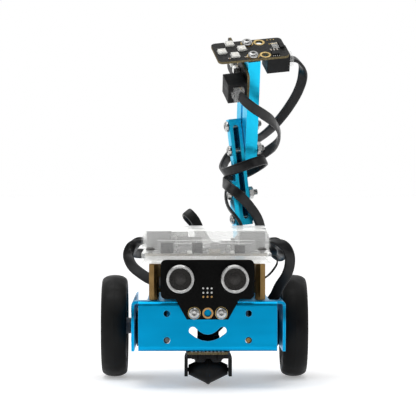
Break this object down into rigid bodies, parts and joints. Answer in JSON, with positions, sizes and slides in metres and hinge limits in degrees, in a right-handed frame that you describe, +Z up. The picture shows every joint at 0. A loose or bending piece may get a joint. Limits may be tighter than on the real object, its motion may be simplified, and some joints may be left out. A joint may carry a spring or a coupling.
{
  "type": "two-wheeled classroom robot",
  "caption": "Small two-wheeled robot with a folded metal chassis, cased controller, ultrasonic sensor, roller caster and a bolted beam mast carrying a light board and a light sensor.",
  "frame": {"origin": "bottom centre of the box round the rigid parts, on the floor between the wheels", "axes": "+Z up, -Y is the front with the ultrasonic sensor, +X is the robot's left as seen from inside it"},
  "size_m": [0.1308, 0.1587, 0.2187],
  "materials": {
    "anodised_blue": "satin blue anodised",
    "tyre_rubber": "smooth matt rubber",
    "black_plastic": "moulded, satin",
    "white_plastic": "moulded",
    "clear_plastic": "frosted translucent",
    "board_black": "black solder mask",
    "steel": "bright zinc",
    "brass": "machined",
    "cable_black": "flat sheath"
  },
  "bodies": {
    "robot_frame": {"chassis": "anodised_blue", "gearbox_left": "black_plastic", "gearbox_right": "black_plastic", "motor_left": "steel", "motor_right": "steel", "standoff_front_left": "brass", "standoff_front_right": "brass", "standoff_rear_left": "brass", "standoff_rear_right": "brass", "ultrasonic_board": "board_black", "ultrasonic_emitter": "steel", "ultrasonic_receiver": "steel", "ultrasonic_jack": "black_plastic", "ultrasonic_screw_1": "steel", "ultrasonic_screw_2": "steel", "line_follower_board": "board_black", "line_follower_jack": "black_plastic", "caster_frame": "black_plastic", "caster_screw_1": "steel", "caster_screw_2": "steel", "case_tray": "clear_plastic", "case_cover": "clear_plastic", "mainboard": "board_black", "port_left_front": "black_plastic", "port_left_rear": "black_plastic", "port_right_front": "black_plastic", "port_right_rear": "black_plastic", "usb_port": "steel", "power_switch": "black_plastic", "battery_holder": "black_plastic", "mast_bracket": "anodised_blue", "bracket_screw_1": "steel", "bracket_screw_2": "steel", "mast_plate_lower": "anodised_blue", "mast_beam_middle": "anodised_blue", "mast_beam_upper": "anodised_blue", "mast_bolt_lower_1": "steel", "mast_bolt_lower_2": "steel", "mast_bolt_upper_1": "steel", "mast_bolt_upper_2": "steel", "light_board": "board_black", "light_board_jack": "black_plastic", "light_board_screw_1": "steel", "light_board_screw_2": "steel", "light_sensor_board": "board_black", "light_sensor_jack": "black_plastic", "cable_light_board": "cable_black", "cable_light_sensor": "cable_black", "cable_ultrasonic": "cable_black", "cable_line_follower": "cable_black", "battery_lead": "cable_black"},
    "wheel_left": {"tyre_left": "tyre_rubber", "wheel_hub_left": "black_plastic", "output_shaft_left": "white_plastic"},
    "wheel_right": {"tyre_right": "tyre_rubber", "wheel_hub_right": "black_plastic", "output_shaft_right": "white_plastic"},
    "roller": {"caster_roller": "black_plastic"},
    "button": {"user_button": "steel"},
    "switch_lever": {"power_switch_lever": "black_plastic"}
  },
  "joints": [
    {"name": "wheel_left_spin", "type": "hinge", "parent": "robot_frame", "child": "wheel_left", "pos_m": [-0.05745, 0.0235, 0.0325], "axis": [1, 0, 0], "continuous": true},
    {"name": "wheel_right_spin", "type": "hinge", "parent": "robot_frame", "child": "wheel_right", "pos_m": [0.05745, 0.0235, 0.0325], "axis": [1, 0, 0], "continuous": true},
    {"name": "caster_roller_spin", "type": "hinge", "parent": "robot_frame", "child": "roller", "pos_m": [0.00185, -0.0305, 0.0092], "axis": [1, 0, 0], "continuous": true},
    {"name": "user_button_press", "type": "slide", "parent": "robot_frame", "child": "button", "axis": [0, 0, -1], "range_m": [0, 0.0003], "stiffness_N_per_m": 800},
    {"name": "power_switch_slide", "type": "slide", "parent": "robot_frame", "child": "switch_lever", "axis": [1, 0, 0], "range_m": [0, 0.005]}
  ]
}
